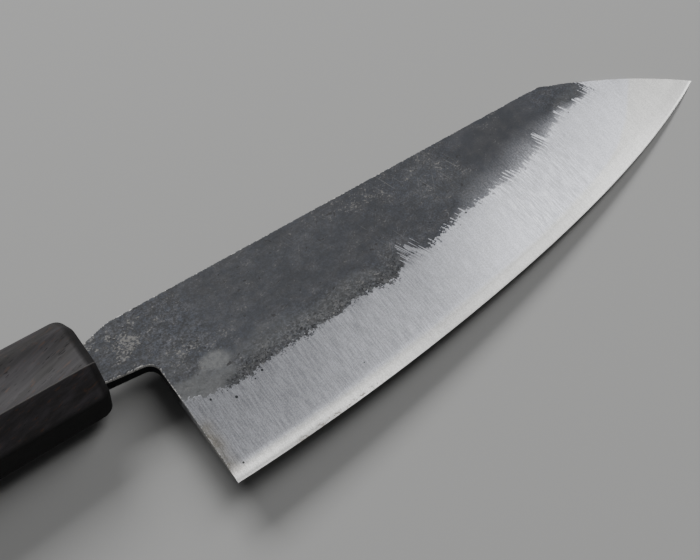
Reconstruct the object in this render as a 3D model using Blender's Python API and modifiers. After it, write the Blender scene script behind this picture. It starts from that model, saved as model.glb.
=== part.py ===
"""Bunka kitchen knife: a three-layer forged blade with a hidden tang in an octagonal wooden handle.

Metres, +Z up. Every piece is modelled in the knife's own axes: +X runs from the handle to the tip, +Y
towards the spine, +Z out of the face side, and the origin is on the handle's axis at its front face.
The pieces hang on one empty, which lays the knife on its side on the plane z = 0: it rests on the
front lower edge of the handle and on the tip, with the middle of its footprint over the origin.
"""

import math

import bmesh
import bpy
from mathutils import Vector
from mathutils.geometry import interpolate_bezier

MM = 0.001

# Blade in side view
BLADE_LENGTH = 165.0 * MM         # heel corner to tip, along the handle's axis
BLADE_HEIGHT = 50.6 * MM          # spine to heel corner
SPINE_RISE = 6.2 * MM             # spine line above the handle's axis
CLIP_LENGTH = 37.2 * MM           # from the corner at the end of the spine to the tip
CLIP_BULGE = 1.7 * MM             # how far the clip's curve stands out from its chord
TIP_DROP = 21.1 * MM              # tip below the spine line
EDGE_HEEL_ANGLE = 0.5             # degrees, how steeply the cutting edge starts at the heel
EDGE_HEEL_REACH = 40.0 * MM       # length of its curve handle there
EDGE_TIP_ANGLE = 26.3             # degrees, how steeply it arrives at the tip
EDGE_TIP_REACH = 48.6 * MM

# Blade in cross-section
NECK_THICKNESS = 4.6 * MM
HEEL_THICKNESS = 4.0 * MM
CORNER_THICKNESS = 1.6 * MM       # where the spine ends and the clip begins
TIP_THICKNESS = 0.36 * MM
FACE_TAPER = 0.028                # thickness lost per length down from the spine
BEVEL_HEIGHT = 21.0 * MM          # ground bevel, measured up from the cutting edge
EDGE_BEVEL_HEIGHT = 2.4 * MM      # final bevel, measured up from the cutting edge
EDGE_BEVEL_THICKNESS = 0.56 * MM  # blade thickness at the top of the final bevel
EDGE_TO_FACE = 0.75               # most of the local blade thickness that the final bevel may keep
CORE_THICKNESS = 0.68 * MM
WELD_GAP = 0.01 * MM              # keeps the forge-welded layers from sharing a face

# Neck and tang
NECK_LENGTH = 12.4 * MM           # handle to heel
NECK_HEIGHT = 11.4 * MM           # at the handle
NECK_DROP = 1.9 * MM              # middle of the neck and tang below the handle's axis
NECK_SLOPE_LENGTH = 8.5 * MM      # over which the top of the neck rises to the spine
NECK_FLARE = 1.4 * MM             # how far the bottom of the neck falls on its way to the heel
HEEL_FILLET = 3.0 * MM
TANG_LENGTH = 88.0 * MM
TANG_END_HEIGHT = 7.0 * MM
TANG_END_THICKNESS = 2.4 * MM

# Handle
HANDLE_LENGTH = 135.0 * MM
HANDLE_WIDTH = 24.3 * MM          # at the front, along Y
HANDLE_THICKNESS = 20.6 * MM      # at the front, along Z
HANDLE_CHAMFER = 6.4 * MM         # each leg, at the front
HANDLE_WIDENING = 1.13            # butt section over front section
HANDLE_END_ROUND = 2.0 * MM
BORE_DIAMETER = 15.0 * MM
BORE_DEPTH = 100.0 * MM
SEAL_RECESS = 0.5 * MM            # front of the seal behind the front of the handle
SEAL_LENGTH = 6.0 * MM
FIT_GAP = 0.3 * MM                # between pieces that are fitted into each other
KERF_END_ROOM = 1.0 * MM          # slot in the dowel beyond the end of the tang

# Fineness of the curves
EDGE_STEPS = 40
BEVEL_STRIPS = 4
CLIP_STEPS = 12
FILLET_STEPS = 8
END_ROUND_SEGMENTS = 4
ROUND_SEGMENTS = 48
CUT_ROOM = 3.0 * MM               # how far blanks and cutters overshoot what they cut
SMOOTH_ANGLE = math.radians(28)
END_EDGE_ANGLE = math.radians(60)  # edges sharper than this are the ones round the handle's ends
SAME_POINT = 0.0001 * MM
SAME_PLANE_ANGLE = math.radians(0.03)

# Places that follow from the sizes
HEEL = Vector((NECK_LENGTH, SPINE_RISE - BLADE_HEIGHT))
TIP = Vector((NECK_LENGTH + BLADE_LENGTH, SPINE_RISE - TIP_DROP))
SPINE_CORNER = Vector((TIP.x - CLIP_LENGTH, SPINE_RISE))
NECK_BOTTOM = -NECK_DROP - NECK_HEIGHT / 2
NECK_TOP = -NECK_DROP + NECK_HEIGHT / 2
BORE_RADIUS = BORE_DIAMETER / 2
SEAL_END = SEAL_RECESS + SEAL_LENGTH


def edge_points():
    """Cutting edge from heel to tip, one smooth curve that is nearly flat at the heel."""
    leave = Vector((math.cos(math.radians(EDGE_HEEL_ANGLE)), math.sin(math.radians(EDGE_HEEL_ANGLE))))
    arrive = Vector((math.cos(math.radians(EDGE_TIP_ANGLE)), math.sin(math.radians(EDGE_TIP_ANGLE))))
    return interpolate_bezier(
        HEEL, HEEL + leave * EDGE_HEEL_REACH, TIP - arrive * EDGE_TIP_REACH, TIP, EDGE_STEPS + 1)


def clip_points():
    """Slightly bulged line from the tip back up to the end of the spine."""
    chord = SPINE_CORNER - TIP
    outward = Vector((-chord.y, chord.x)).normalized() * -1
    points = []
    for step in range(CLIP_STEPS + 1):
        t = step / CLIP_STEPS
        points.append(TIP + chord * t + outward * (CLIP_BULGE * 4 * t * (1 - t)))
    return points


def fillet_points(before, corner, after, radius):
    """Arc of a radius that is tangent to both lines through a corner."""
    to_before = (before - corner).normalized()
    to_after = (after - corner).normalized()
    half = to_before.angle(to_after) / 2
    centre = corner + (to_before + to_after).normalized() * (radius / math.sin(half))
    start = corner + to_before * (radius / math.tan(half)) - centre
    end = corner + to_after * (radius / math.tan(half)) - centre
    turn = start.angle_signed(end)
    points = []
    for step in range(FILLET_STEPS + 1):
        angle = -turn * step / FILLET_STEPS
        turned = Vector((start.x * math.cos(angle) - start.y * math.sin(angle),
                         start.x * math.sin(angle) + start.y * math.cos(angle)))
        points.append(centre + turned)
    return points


def profile_outline():
    """Side view of the blade blank with its neck and tang, before the edge is ground."""
    low = HEEL.y - CUT_ROOM
    neck_corner = Vector((HEEL.x, NECK_BOTTOM - NECK_FLARE))
    clip = clip_points()
    past_tip = TIP + (clip[0] - clip[1]).normalized() * CUT_ROOM
    outline = [
        Vector((-TANG_LENGTH, -NECK_DROP - TANG_END_HEIGHT / 2)),
        Vector((0.0, NECK_BOTTOM)),
    ]
    outline += fillet_points(outline[-1], neck_corner, HEEL, HEEL_FILLET)
    outline += [Vector((HEEL.x, low)), Vector((past_tip.x, low)), past_tip]
    outline += clip
    outline += [
        Vector((NECK_SLOPE_LENGTH, SPINE_RISE)),
        Vector((0.0, NECK_TOP)),
        Vector((-TANG_LENGTH, -NECK_DROP + TANG_END_HEIGHT / 2)),
    ]
    return outline


def spine_thickness(x):
    """Thickness of blade, neck and tang at the height of the spine, at a place along X."""
    places = (-TANG_LENGTH, 0.0, HEEL.x, SPINE_CORNER.x, TIP.x)
    sizes = (TANG_END_THICKNESS, NECK_THICKNESS, HEEL_THICKNESS, CORNER_THICKNESS, TIP_THICKNESS)
    for left, right, size, next_size in zip(places, places[1:], sizes, sizes[1:]):
        if x <= right:
            return size + (next_size - size) * (max(x, left) - left) / (right - left)
    return TIP_THICKNESS


def ground_section(x, edge_y):
    """Cross-section that grinding leaves: tapered upper faces, ground bevels and final bevels."""
    top = SPINE_RISE + CUT_ROOM
    ridge = edge_y + BEVEL_HEIGHT
    top_face = (spine_thickness(x) + FACE_TAPER * CUT_ROOM) / 2
    ridge_face = (spine_thickness(x) - FACE_TAPER * (SPINE_RISE - ridge)) / 2
    shoulder = min(EDGE_BEVEL_THICKNESS / 2, ridge_face * EDGE_TO_FACE)
    side = [(top, top_face)]
    for strip in range(BEVEL_STRIPS + 1):
        t = strip / BEVEL_STRIPS
        drop = (BEVEL_HEIGHT - EDGE_BEVEL_HEIGHT) * t
        side.append((ridge - drop, ridge_face + (shoulder - ridge_face) * t))
    far_side = [(y, -z) for y, z in reversed(side)]
    return [Vector((x, y, z)) for y, z in side + [(edge_y, 0.0)] + far_side]


def ground_stations():
    """Places along the knife where the ground section is set: tang, neck, heel to tip, and past it."""
    edge = edge_points()
    past_tip = TIP + (edge[-1] - edge[-2]).normalized() * CUT_ROOM
    stations = [(-TANG_LENGTH - CUT_ROOM, HEEL.y), (0.0, HEEL.y)]
    stations += [(point.x, point.y) for point in edge]
    stations.append((past_tip.x, past_tip.y))
    stations.append((SPINE_CORNER.x, height_at(edge, SPINE_CORNER.x)))
    return sorted(stations)


def height_at(points, x):
    """Height of a polyline at a place along X."""
    for left, right in zip(points, points[1:]):
        if left.x <= x <= right.x:
            return left.y + (right.y - left.y) * (x - left.x) / (right.x - left.x)
    return points[-1].y


def collection(name):
    made = bpy.data.collections.new(name)
    bpy.context.scene.collection.children.link(made)
    return made


def add_object(name, mesh, home):
    made = bpy.data.objects.new(name, mesh)
    home.objects.link(made)
    return made


def mesh_from_bmesh(name, bm):
    bmesh.ops.recalc_face_normals(bm, faces=bm.faces)
    mesh = bpy.data.meshes.new(name)
    bm.to_mesh(mesh)
    bm.free()
    return mesh


def evaluated_mesh(obj):
    """The mesh that an object's curve or modifiers give: one closed body, each flat a single face."""
    graph = bpy.context.evaluated_depsgraph_get()
    mesh = bpy.data.meshes.new_from_object(obj.evaluated_get(graph))
    bm = bmesh.new()
    bm.from_mesh(mesh)
    bmesh.ops.remove_doubles(bm, verts=bm.verts, dist=SAME_POINT)
    bmesh.ops.dissolve_limit(bm, angle_limit=SAME_PLANE_ANGLE, verts=bm.verts, edges=bm.edges)
    bm.to_mesh(mesh)
    bm.free()
    return mesh


def box(name, low, high, home):
    """Box between two opposite corners."""
    bm = bmesh.new()
    bmesh.ops.create_cube(bm, size=1.0)
    low, high = Vector(low), Vector(high)
    for vert in bm.verts:
        for axis in range(3):
            vert.co[axis] = high[axis] if vert.co[axis] > 0 else low[axis]
    return add_object(name, mesh_from_bmesh(name, bm), home)


def rod(name, radius, start_x, end_x, home):
    """Round rod along X on the tang's centre line."""
    bm = bmesh.new()
    bmesh.ops.create_cone(bm, cap_ends=True, segments=ROUND_SEGMENTS, radius1=radius, radius2=radius,
                          depth=abs(end_x - start_x))
    made = add_object(name, mesh_from_bmesh(name, bm), home)
    made.rotation_euler = (0.0, math.radians(90), 0.0)
    made.location = ((start_x + end_x) / 2, -NECK_DROP, 0.0)
    return made


def cut(obj, cutter, operation):
    boolean = obj.modifiers.new(cutter.name, 'BOOLEAN')
    boolean.operation = operation
    boolean.object = cutter
    boolean.solver = 'EXACT'


def hide_cutter(obj):
    obj.hide_render = True
    obj.display_type = 'WIRE'


def shade(obj):
    obj.data.shade_smooth()
    obj.data.set_sharp_from_angle(angle=SMOOTH_ANGLE)


def material(name, colour, roughness, metallic):
    made = bpy.data.materials.new(name)
    made.use_nodes = True
    shader = made.node_tree.nodes["Principled BSDF"]
    shader.inputs["Base Color"].default_value = (*colour, 1.0)
    shader.inputs["Roughness"].default_value = roughness
    shader.inputs["Metallic"].default_value = metallic
    return made


def blade_blank(home):
    """Flat plate with the outline of blade, neck and tang."""
    curve = bpy.data.curves.new("blade_outline", 'CURVE')
    curve.dimensions = '2D'
    curve.fill_mode = 'BOTH'
    curve.extrude = NECK_THICKNESS / 2 + CUT_ROOM
    points = profile_outline()
    spline = curve.splines.new('POLY')
    spline.points.add(len(points) - 1)
    for target, point in zip(spline.points, points):
        target.co = (point.x, point.y, 0.0, 1.0)
    spline.use_cyclic_u = True
    flat = add_object("blade_outline", curve, home)
    plate = add_object("blade_blank", evaluated_mesh(flat), home)
    bpy.data.objects.remove(flat)
    return plate


def ground_shape(home):
    """Loft through the ground cross-sections, which gives the blank its taper and its bevels."""
    bm = bmesh.new()
    rings = []
    for x, edge_y in ground_stations():
        rings.append([bm.verts.new(point) for point in ground_section(x, edge_y)])
    for ring, next_ring in zip(rings, rings[1:]):
        for i in range(len(ring)):
            j = (i + 1) % len(ring)
            bm.faces.new((ring[i], ring[j], next_ring[j], next_ring[i]))
    bm.faces.new(rings[0])
    bm.faces.new(rings[-1])
    return add_object("ground_shape", mesh_from_bmesh("ground_shape", bm), home)


def blade_layer(name, low_z, high_z, blank, ground, finish, parts, cutters):
    """One forged layer: the blank, ground to shape, between two planes that lie along the blade."""
    low = (-TANG_LENGTH - 2 * CUT_ROOM, HEEL.y - 2 * CUT_ROOM, low_z)
    high = (TIP.x + 2 * CUT_ROOM, SPINE_RISE + 2 * CUT_ROOM, high_z)
    slab = box(name + "_slab", low, high, cutters)
    rough = add_object(name + "_rough", blank.data, cutters)
    cut(rough, ground, 'INTERSECT')
    cut(rough, slab, 'INTERSECT')
    layer = add_object(name, evaluated_mesh(rough), parts)
    bpy.data.objects.remove(rough)
    hide_cutter(slab)
    layer.data.name = name
    layer.data.materials.clear()
    layer.data.materials.append(finish)
    shade(layer)
    return layer


def handle_body(finish, parts, cutters):
    """Octagonal handle that widens to the butt, with rounded ends and a blind bore from the front."""
    half_width = HANDLE_WIDTH / 2
    half_thickness = HANDLE_THICKNESS / 2
    corners = []
    for side_y, side_z in ((1, 1), (-1, 1), (-1, -1), (1, -1)):
        on_flat = (side_y * (half_width - HANDLE_CHAMFER), side_z * half_thickness)
        on_side = (side_y * half_width, side_z * (half_thickness - HANDLE_CHAMFER))
        corners += [on_side, on_flat] if side_y == side_z else [on_flat, on_side]
    bm = bmesh.new()
    front = bm.faces.new([bm.verts.new((0.0, y, z)) for y, z in corners])
    pulled = bmesh.ops.extrude_face_region(bm, geom=[front])["geom"]
    for vert in (item for item in pulled if isinstance(item, bmesh.types.BMVert)):
        vert.co = (-HANDLE_LENGTH, vert.co.y * HANDLE_WIDENING, vert.co.z * HANDLE_WIDENING)
    handle = add_object("handle_body", mesh_from_bmesh("handle_body", bm), parts)
    rounding = handle.modifiers.new("end_round", 'BEVEL')
    rounding.width = HANDLE_END_ROUND
    rounding.segments = END_ROUND_SEGMENTS
    rounding.limit_method = 'ANGLE'
    rounding.angle_limit = END_EDGE_ANGLE
    bore = rod("handle_bore", BORE_RADIUS, -BORE_DEPTH, CUT_ROOM, cutters)
    cut(handle, bore, 'DIFFERENCE')
    hide_cutter(bore)
    handle.data.materials.append(finish)
    shade(handle)
    return handle


def tang_dowel(finish, parts, cutters):
    """Round dowel that fills the bore behind the seal, sawn open from the front for the tang."""
    start = -SEAL_END - FIT_GAP
    dowel = rod("tang_dowel", BORE_RADIUS - FIT_GAP, -BORE_DEPTH + FIT_GAP, start, parts)
    half_slot = NECK_THICKNESS / 2 + FIT_GAP
    kerf = box("dowel_kerf", (-TANG_LENGTH - KERF_END_ROOM, -NECK_DROP - BORE_RADIUS, -half_slot),
               (start + CUT_ROOM, -NECK_DROP + BORE_RADIUS, half_slot), cutters)
    cut(dowel, kerf, 'DIFFERENCE')
    hide_cutter(kerf)
    dowel.data.materials.append(finish)
    shade(dowel)
    return dowel


def tang_seal(finish, parts, cutters):
    """Plug round the neck at the mouth of the bore."""
    seal = rod("tang_seal", BORE_RADIUS - FIT_GAP, -SEAL_END, -SEAL_RECESS, parts)
    half_slot = NECK_THICKNESS / 2 + FIT_GAP
    slot = box("seal_slot", (-SEAL_END - CUT_ROOM, NECK_BOTTOM - FIT_GAP, -half_slot),
               (CUT_ROOM, NECK_TOP + FIT_GAP, half_slot), cutters)
    cut(seal, slot, 'DIFFERENCE')
    hide_cutter(slot)
    seal.data.materials.append(finish)
    shade(seal)
    return seal


def lay_down(root, pieces):
    """Tilt the knife onto the handle's front lower edge and the tip, over the middle of its footprint."""
    root.rotation_euler = (0.0, math.atan2(HANDLE_THICKNESS / 2, TIP.x + HANDLE_END_ROUND), 0.0)
    bpy.context.view_layer.update()
    graph = bpy.context.evaluated_depsgraph_get()
    corners = []
    for piece in pieces:
        solid = piece.evaluated_get(graph)
        corners += [solid.matrix_world @ vert.co for vert in solid.data.vertices]
    low = [min(corner[axis] for corner in corners) for axis in range(3)]
    high = [max(corner[axis] for corner in corners) for axis in range(3)]
    root.location = (-(low[0] + high[0]) / 2, -(low[1] + high[1]) / 2, -low[2])


def main():
    for obj in list(bpy.data.objects):
        bpy.data.objects.remove(obj)
    parts = collection("bunka_knife")
    cutters = collection("cutters")

    steel = material("core_steel", (0.62, 0.63, 0.65), 0.25, 1.0)
    iron = material("scaled_iron", (0.10, 0.11, 0.12), 0.55, 0.8)
    ebony = material("dark_wood", (0.030, 0.022, 0.020), 0.45, 0.0)
    pale_wood = material("pale_wood", (0.62, 0.50, 0.34), 0.7, 0.0)
    wax = material("dark_seal", (0.05, 0.04, 0.03), 0.4, 0.0)

    blank = blade_blank(cutters)
    ground = ground_shape(cutters)
    hide_cutter(blank)
    hide_cutter(ground)
    half_core = CORE_THICKNESS / 2
    outside = NECK_THICKNESS / 2 + CUT_ROOM / 2
    layers = (
        ("core_steel", -half_core, half_core, steel),
        ("face_cladding", half_core + WELD_GAP, outside, iron),
        ("back_cladding", -outside, -half_core - WELD_GAP, iron),
    )
    pieces = [blade_layer(name, low, high, blank, ground, finish, parts, cutters)
              for name, low, high, finish in layers]
    pieces.append(handle_body(ebony, parts, cutters))
    pieces.append(tang_dowel(pale_wood, parts, cutters))
    pieces.append(tang_seal(wax, parts, cutters))

    root = bpy.data.objects.new("knife_at_rest", None)
    parts.objects.link(root)
    for obj in list(parts.objects) + list(cutters.objects):
        if obj is not root:
            obj.parent = root
    lay_down(root, pieces)


main()
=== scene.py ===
"""Looks of a bunka knife lying on its side: forge scale over a ground bevel, and a dark wooden handle.

Everything is worked out in millimetres in the knife's own axes: +X runs from the handle's front face
to the tip, +Y towards the spine and +Z out of the face side. One matrix, found from the frame, then
lays each piece where the frame holds it.
"""

import math
from types import SimpleNamespace

import bmesh
import bpy
import numpy as np
from mathutils import Matrix, Vector, noise
from mathutils.geometry import delaunay_2d_cdt, interpolate_bezier


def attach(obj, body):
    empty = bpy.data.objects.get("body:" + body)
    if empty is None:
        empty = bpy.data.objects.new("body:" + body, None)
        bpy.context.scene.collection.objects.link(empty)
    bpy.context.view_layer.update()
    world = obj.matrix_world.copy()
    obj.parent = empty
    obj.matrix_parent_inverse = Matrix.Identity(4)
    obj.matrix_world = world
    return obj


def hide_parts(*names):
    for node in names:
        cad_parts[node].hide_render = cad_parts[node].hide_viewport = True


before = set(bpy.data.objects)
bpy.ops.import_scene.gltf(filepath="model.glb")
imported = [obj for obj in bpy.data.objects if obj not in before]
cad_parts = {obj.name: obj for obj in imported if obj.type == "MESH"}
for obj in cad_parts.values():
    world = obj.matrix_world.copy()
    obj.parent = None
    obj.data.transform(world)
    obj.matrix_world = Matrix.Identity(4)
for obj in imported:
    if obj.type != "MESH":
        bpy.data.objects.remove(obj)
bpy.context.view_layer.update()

MM = 0.001

# Blade in side view
BLADE_LENGTH = 165.0
BLADE_HEIGHT = 50.6
SPINE_RISE = 6.2
CLIP_LENGTH = 37.2
CLIP_BULGE = 1.7
TIP_DROP = 21.1
EDGE_HEEL_ANGLE = math.radians(0.5)
EDGE_HEEL_REACH = 40.0
EDGE_TIP_ANGLE = math.radians(26.3)
EDGE_TIP_REACH = 48.6

# Blade in cross-section
NECK_THICKNESS = 4.6
HEEL_THICKNESS = 4.0
CORNER_THICKNESS = 1.6
TIP_THICKNESS = 0.36
FACE_TAPER = 0.028
EDGE_BEVEL_HEIGHT = 3.2
EDGE_BEVEL_HALF = 0.42
EDGE_TO_FACE = 0.75
EDGE_BEVEL_EASE = 1.5
MICRO_BEVEL_HEIGHT = 0.35
MICRO_BEVEL_HALF = 0.085
MICRO_TO_SHOULDER = 0.4
CORE_HALF = 0.34
WELD_GAP = 0.01
THINNEST_WALL = 0.004

# Neck and tang
NECK_LENGTH = 12.4
NECK_HEIGHT = 11.4
NECK_DROP = 1.9
NECK_SLOPE_LENGTH = 8.5
NECK_FLARE = 1.4
NECK_TURN = 12.0
HEEL_FILLET = 3.0
TANG_LENGTH = 88.0
TANG_END_HEIGHT = 7.0
TANG_END_THICKNESS = 2.4

# Handle
HANDLE_LENGTH = 135.0
HANDLE_WIDTH = 24.3
HANDLE_THICKNESS = 20.6
HANDLE_CHAMFER = 6.4
HANDLE_WIDENING = 1.13
HANDLE_END_ROUND = 2.0
FRONT_ROUND_LENGTH = 3.2
FRONT_ROUND_DEPTH = 2.3
BORE_RADIUS = 7.5
BORE_DEPTH = 100.0
BORE_MOUTH_ROUND = 0.25
HAND_PLANED = 0.0015
HAND_PLANED_RIPPLE = 0.0025

# Ridges and facets of the handle, counted from the end of the spine side, round over the face side
RIDGE_ROUNDS = (1.4, 2.4, 0.5, 0.7, 0.7, 0.5, 2.4, 1.4)
# Ridges painted lighter, as wear together with a painted highlight
WORN_SHEEN_RIDGES = (2, 5)
# Facets made rougher and painted darker as shade, narrow sides painted darker as shade, and the facets
# across which that shade fades out and in
DULL_SHADED_FACETS = (0, 6)
SHADED_SIDE_FACETS = (3, 7)
SHADE_FADING_OUT_FACET = 1
SHADE_FADING_IN_FACET = 5

# Ground bevel: places along the blade with the height of the grind line above the cutting edge
GRIND_LINE = (
    (12, 23), (20, 20.6), (29, 19.1), (37, 20.9), (52, 20), (64, 20.2), (72, 18.1), (78, 21.2), (86, 20),
    (100, 21.6), (116, 19.8), (126, 20.3), (139, 23.4), (152, 22),
)
PLAIN_GRIND_HEIGHT = 21.0
PLAIN_GRIND_FROM = 130.0
PLAIN_GRIND_EASE = 25.0
GRIND_EVENED_OVER = 9.0

# Places along the blade with the height up to which the core steel shows through the grinding
CORE_SHOWN = (
    (12, 3.2), (110, 3.4), (125, 4), (132, 4.3), (140, 5), (146, 6.2), (153, 9.1), (158, 12.3),
    (163, 15.6), (178, 24),
)

# Places along the blade with how bright the metal is painted, for its polish together with painted sheen
# and shade: final bevel, ground bevel and the very edge
BAND_BRIGHTNESS = (
    (12, 1.4), (20, 1.36), (30, 1), (45, 0.85), (60, 0.7), (75, 0.54), (95, 0.62), (120, 0.68),
    (135, 0.82), (152, 0.82), (167, 0.67),
)
BEVEL_BRIGHTNESS = (
    (12, 0.74), (30, 0.62), (60, 0.735), (78, 0.745), (92, 1), (105, 1.24), (120, 1.18), (140, 1.06),
    (152, 1.05), (158, 0.98), (175, 0.88),
)
EDGE_BRIGHTNESS = (
    (12, 0.36), (35, 0.4), (48, 0.8), (60, 0.92), (100, 0.92), (130, 1.2), (160, 1.3), (170, 1.9),
)
EDGE_BRIGHTNESS_REACH = ((35, 1.5), (50, 0.8))
FAR_BAND = ((60, 0.0), (100, 1.0))

# Places along the blade with how the scale ends: how far it fades, how much of it the fading takes,
# and how deep the grinding strokes bite into it
SCALE_END = 152.4
FADE_REACH = (
    (90, 0.35), (98, 4), (104, 8.5), (112, 10), (124, 11.5), (131, 8.5), (138, 4.8), (146, 2),
)
FADE_SHARE = (
    (94, 0.15), (100, 0.2), (106, 0.26), (112, 0.46), (120, 0.56), (128, 0.62), (134, 0.75), (142, 0.75),
    (150, 0.4),
)
STREAK_DEPTH = ((70, 0.15), (78, 0.5), (92, 0.6), (102, 1.1))

# Places that follow from the sizes
HEEL = Vector((NECK_LENGTH, SPINE_RISE - BLADE_HEIGHT))
TIP = Vector((NECK_LENGTH + BLADE_LENGTH, SPINE_RISE - TIP_DROP))
SPINE_CORNER = Vector((TIP.x - CLIP_LENGTH, SPINE_RISE))
NECK_BOTTOM = -NECK_DROP - NECK_HEIGHT / 2
NECK_TOP = -NECK_DROP + NECK_HEIGHT / 2

# Fineness of the meshes
FINE_STEP = 0.45
COARSE_STEP = 3.0
VISIBLE_FROM = -1.0
HIDDEN_STEP_IN = 0.02
EDGE_STEPS = 400
CLIP_STEPS = 80
FILLET_STEPS = 14
RIM_CLEARANCE = 0.55
CORE_ROWS = (0.15, 0.35, 0.5, 0.8, 1.2, 1.6, 2.0, 2.4, 2.7, 3.1, 3.6, 4.1, 4.6, 5.2, 5.8, 6.5)
CORE_ROW_STEP = 0.7
CORE_ROWS_END = 26.0
SHARP_ANGLE = math.radians(40)
CORNER_ARC_STEPS = 4
FLAT_STEPS = 7
FACET_STEPS = CORNER_ARC_STEPS + FLAT_STEPS
RING_COUNT = 8 * FACET_STEPS
END_ROUND_STEPS = 9
HANDLE_STEPS = 90

# Worn rims: rounding, how far in the scale is rubbed off, and the mesh's steps there. Points know their
# distance from the rim up to the interior's, and those on a wall have one that lies beyond it.
RIM_ROUND = 0.28
LOW_RIM_ROUND = 0.50
HEEL_RIM_ROUND = 0.14
LOW_RIM_WEAR = 0.54
TOP_RIM_WEAR = 0.12
TOP_RIM_PATCHES = 0.26
INTERIOR_RIM = 6.0
# Rim given to points on walls, which darkens the scale there as painted shade
WALL_RIM = 60.0
RIM_INSETS = (0.02, 0.08, 0.17, 0.28, 0.40, 0.52)

# Ripples as depth and size in mm with a shift of the seed: the grind line's own and the forged face's
COVER_RIPPLES = ((0.55, 4.2, 0), (0.22, 1.3, 1))
FORGED_RISE = 0.020
FORGED_RIPPLES = ((0.022, 13.0, 5), (0.011, 4.5, 6), (0.006, 1.2, 7))
SPECKLE_RIPPLE = (0.012, 0.9, 8)
GROUND_RIPPLE = (0.004, 11.0, 9)


def knife_matrix():
    """From the knife's axes to the frame: tilted, and placed by the core steel's own vertices."""
    tilt = Matrix.Rotation(math.atan2(HANDLE_THICKNESS / 2, TIP.x + HANDLE_END_ROUND), 4, 'Y')
    core_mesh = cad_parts["core_steel"].data
    places = np.array([tilt.inverted() @ vert.co / MM for vert in core_mesh.vertices])
    high, low = places.max(0), places.min(0)
    moved = Vector((high[0] - TIP.x, high[1] - SPINE_RISE, (high[2] + low[2]) / 2))
    return tilt @ Matrix.Translation(moved * MM)


TO_FRAME = knife_matrix()


# Curves of the outline

def resampled(points, step):
    """The same polyline with no stretch longer than a step."""
    points = [Vector(point) for point in points]
    made = [points[0]]
    for start, end in zip(points, points[1:]):
        count = max(1, math.ceil((end - start).length / step))
        made += [start.lerp(end, (i + 1) / count) for i in range(count)]
    return made


def edge_points():
    """From the heel along the cutting edge to the tip."""
    leave = Vector((math.cos(EDGE_HEEL_ANGLE), math.sin(EDGE_HEEL_ANGLE)))
    arrive = Vector((math.cos(EDGE_TIP_ANGLE), math.sin(EDGE_TIP_ANGLE)))
    return interpolate_bezier(
        HEEL, HEEL + leave * EDGE_HEEL_REACH, TIP - arrive * EDGE_TIP_REACH, TIP, EDGE_STEPS + 1)


def clip_points():
    """From the end of the spine down to the tip."""
    chord = TIP - SPINE_CORNER
    outward = Vector((-chord.y, chord.x)).normalized()
    shares = [i / CLIP_STEPS for i in range(CLIP_STEPS + 1)]
    return [SPINE_CORNER + chord * t + outward * (CLIP_BULGE * 4 * t * (1 - t)) for t in shares]


def fillet_points(before, corner, after, radius):
    """Arc of a radius that is tangent to both lines through a corner."""
    to_before = (before - corner).normalized()
    to_after = (after - corner).normalized()
    half = to_before.angle(to_after) / 2
    centre = corner + (to_before + to_after).normalized() * (radius / math.sin(half))
    start = corner + to_before * (radius / math.tan(half)) - centre
    end = corner + to_after * (radius / math.tan(half)) - centre
    turn = -start.angle_signed(end)
    return [centre + Matrix.Rotation(turn * i / FILLET_STEPS, 2) @ start for i in range(FILLET_STEPS + 1)]


EDGE_LINE = np.array([tuple(point) for point in edge_points()])
CLIP_LINE = np.array([tuple(point) for point in clip_points()])


def edge_y(x):
    """How high the cutting edge lies at x."""
    return np.interp(x, EDGE_LINE[:, 0], EDGE_LINE[:, 1])


def clip_y(x):
    """How high the clipped back of the tip lies at x."""
    return np.interp(x, CLIP_LINE[:, 0], CLIP_LINE[:, 1])


def by_place(x, table):
    """Value at x of a table of places along the blade and values."""
    places, values = zip(*table)
    return np.interp(x, places, values)


# Cross-section of the blade

def ridge_height(x):
    """Grind line as one long even stroke leaves it, back to the plain height beyond the scale."""
    spread = np.linspace(-GRIND_EVENED_OVER, GRIND_EVENED_OVER, 13)
    even = np.mean([by_place(x + shift, GRIND_LINE) for shift in spread], axis=0)
    to_plain = np.clip((x - PLAIN_GRIND_FROM) / PLAIN_GRIND_EASE, 0, 1)
    return even * (1 - to_plain) + PLAIN_GRIND_HEIGHT * to_plain


def forged_half(x, y):
    """Half the thickness that forging leaves."""
    places = (-TANG_LENGTH, 0.0, HEEL.x, SPINE_CORNER.x, TIP.x)
    sizes = (TANG_END_THICKNESS, NECK_THICKNESS, HEEL_THICKNESS, CORNER_THICKNESS, TIP_THICKNESS)
    return (np.interp(x, places, sizes) - FACE_TAPER * (SPINE_RISE - y)) / 2


def blade_half(x, y):
    """Half the thickness after grinding: final bevel, ground bevel, forged face."""
    above = y - edge_y(x)
    ridge = ridge_height(x)
    ridge_half = forged_half(x, edge_y(x) + ridge)
    shoulder = np.minimum(EDGE_BEVEL_HALF, ridge_half * EDGE_TO_FACE)
    slope = (ridge_half - shoulder) / (ridge - EDGE_BEVEL_HEIGHT)
    micro = np.minimum(MICRO_BEVEL_HALF, shoulder * MICRO_TO_SHOULDER)
    edge_slope = (shoulder - micro) / (EDGE_BEVEL_HEIGHT - MICRO_BEVEL_HEIGHT)
    past = above - EDGE_BEVEL_HEIGHT
    turn = (slope - edge_slope) * (past + EDGE_BEVEL_EASE) ** 2 / (4 * EDGE_BEVEL_EASE)
    low = shoulder + past * np.where(past > 0, slope, edge_slope)
    low = np.where(np.abs(past) < EDGE_BEVEL_EASE, shoulder + edge_slope * past + turn, low)
    low = np.where(above < MICRO_BEVEL_HEIGHT, micro * above / MICRO_BEVEL_HEIGHT, low)
    return np.where(above < ridge, low, forged_half(x, y))


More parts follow.
